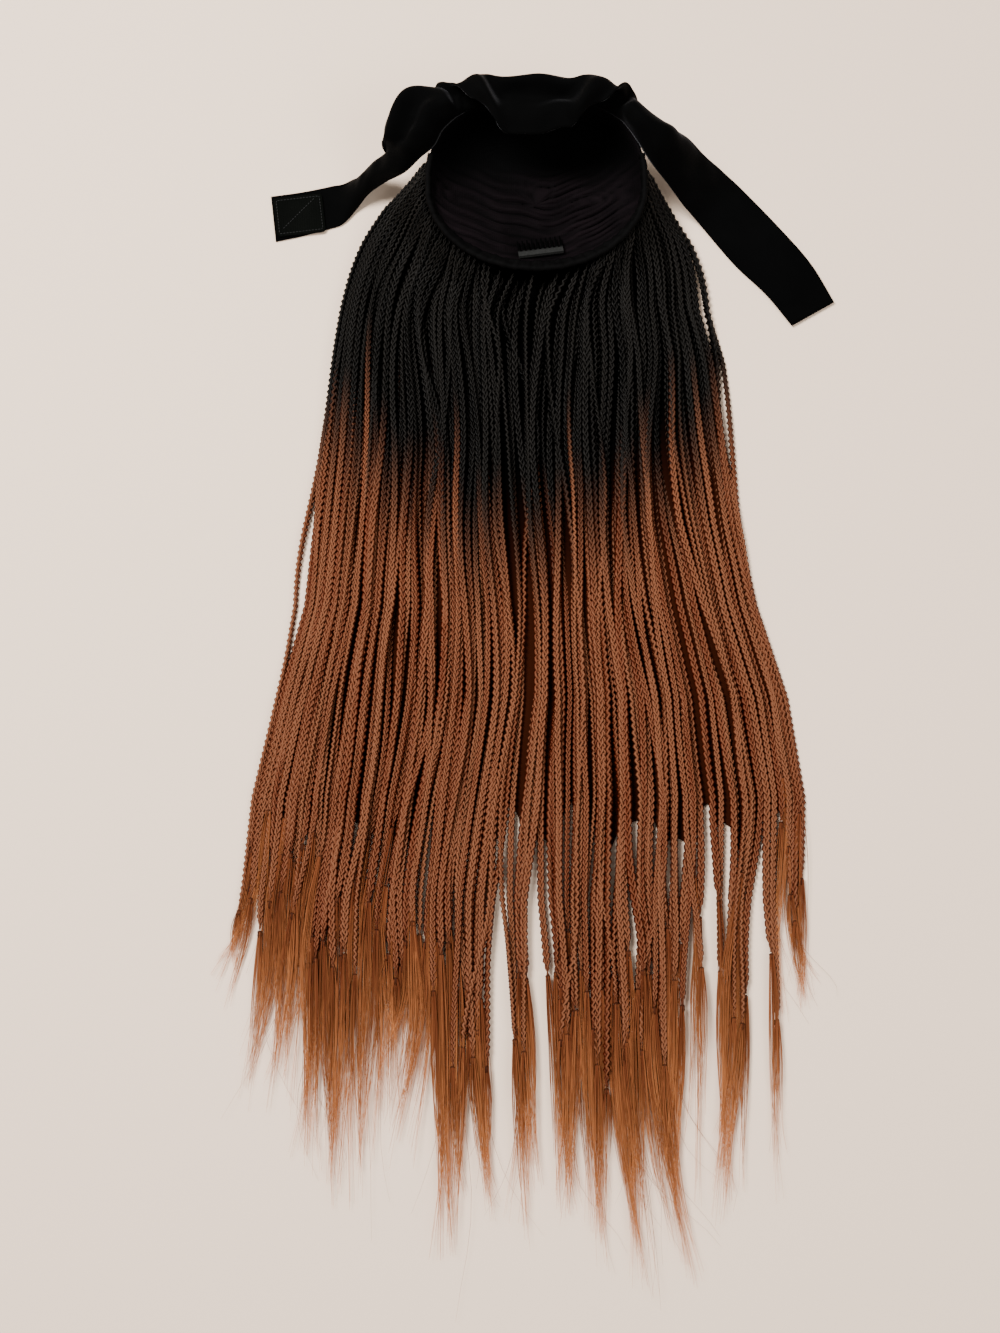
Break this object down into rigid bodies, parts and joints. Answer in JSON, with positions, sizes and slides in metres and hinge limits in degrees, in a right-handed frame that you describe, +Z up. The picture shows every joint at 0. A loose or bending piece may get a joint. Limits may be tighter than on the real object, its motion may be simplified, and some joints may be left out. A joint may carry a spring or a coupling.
{
  "type": "braid wig",
  "caption": "Wig of long thin three-strand plaits on a stretch headband, laid with its net cap open upwards, the band's two tails spread, the plaits fanned out and ending in loose tassels",
  "frame": {"origin": "on the floor under the middle of the laid wig's outline", "axes": "+Z up from the floor, +Y towards the front of the cap where the headband is sewn, the plaits run towards -Y, +X to the right as seen from above with the front away"},
  "size_m": [0.4454, 0.8448, 0.0875],
  "materials": {
    "cap_net": "soft stretch net, near black",
    "binding_tape": "folded cotton tape, black",
    "velvet_band": "matt stretch velvet, black",
    "patch_cloth": "hook and loop tape, dark grey",
    "comb_plastic": "satin plastic, dark grey",
    "plaited_hair": "synthetic hair with a soft sheen, black at the roots to copper brown at the ends"
  },
  "bodies": {
    "root": {"cap": "cap_net", "edge_binding": "binding_tape", "headband": "velvet_band", "hook_patch": "patch_cloth", "loop_patch": "patch_cloth", "comb": "comb_plastic", "braids": "plaited_hair"}
  },
  "joints": []
}
